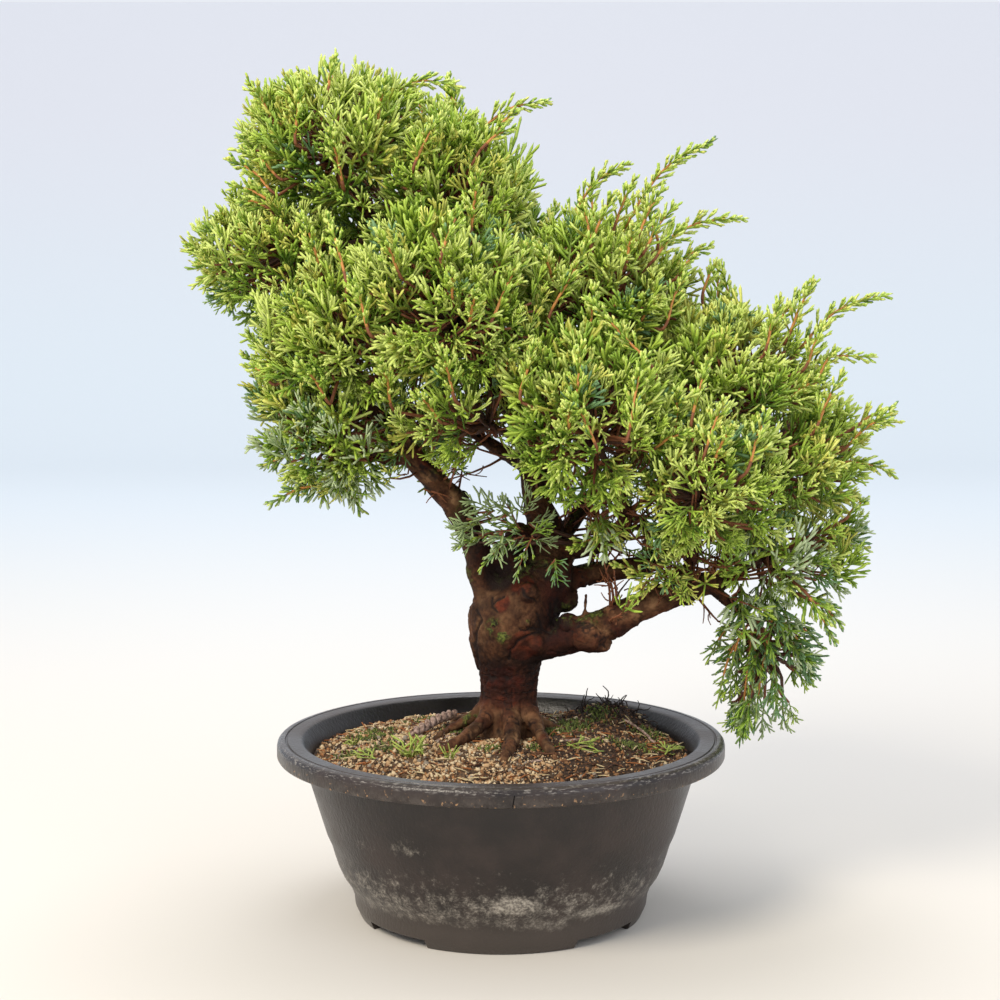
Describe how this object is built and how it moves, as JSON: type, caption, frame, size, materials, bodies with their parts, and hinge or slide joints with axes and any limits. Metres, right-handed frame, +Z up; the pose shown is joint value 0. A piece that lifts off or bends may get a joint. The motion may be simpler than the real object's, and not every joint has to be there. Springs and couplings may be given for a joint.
{
  "type": "potted juniper bonsai",
  "caption": "Potted bonsai conifer: round plastic training pot with soil, swollen leaning trunk, forked boughs and rounded masses of scale-leaved foliage with leading shoots",
  "frame": {"origin": "middle of the bounding box, on the plane that the pot's feet stand on", "axes": "+X to the right of the front view, +Y to the back, +Z up; the pot's axis stands at x -0.0196, y -0.0027"},
  "size_m": [0.33, 0.2154, 0.397],
  "materials": {
    "pot": "dark brown-black moulded plastic with a fine grain and pale lime marks",
    "soil": "damp brown potting grit with chips, dry needles and moss",
    "bark": "dark red-brown fissured bark with grey and orange patches",
    "foliage": "matt bright green scale leaves in cord-like sprays",
    "juvenile": "matt grey-green needle leaves"
  },
  "bodies": {
    "root": {"pot": "pot", "soil": "soil", "trunk": "bark", "bough_left": "bark", "bough_left_low": "bark", "bough_right_low": "bark", "bough_hanging": "bark", "bough_right_front": "bark", "bough_right_mid": "bark", "bough_right_outer": "bark", "bough_right_high": "bark", "bough_upper_right": "bark", "bough_rear_left": "bark", "bough_rear_low": "bark", "bough_rear_mid": "bark", "bough_rear_right": "bark", "bough_rear_far": "bark", "foliage_apex": "foliage", "foliage_shoulder": "foliage", "foliage_left_high": "foliage", "foliage_left_mid": "foliage", "foliage_left_low": "foliage", "foliage_heart": "foliage", "foliage_heart_low": "foliage", "foliage_mid_high": "foliage", "foliage_mid_front": "foliage", "foliage_right_high": "foliage", "foliage_right_mid": "foliage", "foliage_right_front": "foliage", "foliage_right_low": "foliage", "foliage_hanging": "foliage", "foliage_rear_top": "foliage", "foliage_rear_left": "foliage", "foliage_rear_mid": "foliage", "foliage_rear_low": "foliage", "foliage_rear_right": "foliage", "foliage_rear_far": "foliage", "foliage_inner_right": "foliage", "foliage_fork_sprig": "juvenile", "foliage_low_sprig": "foliage"}
  },
  "joints": []
}
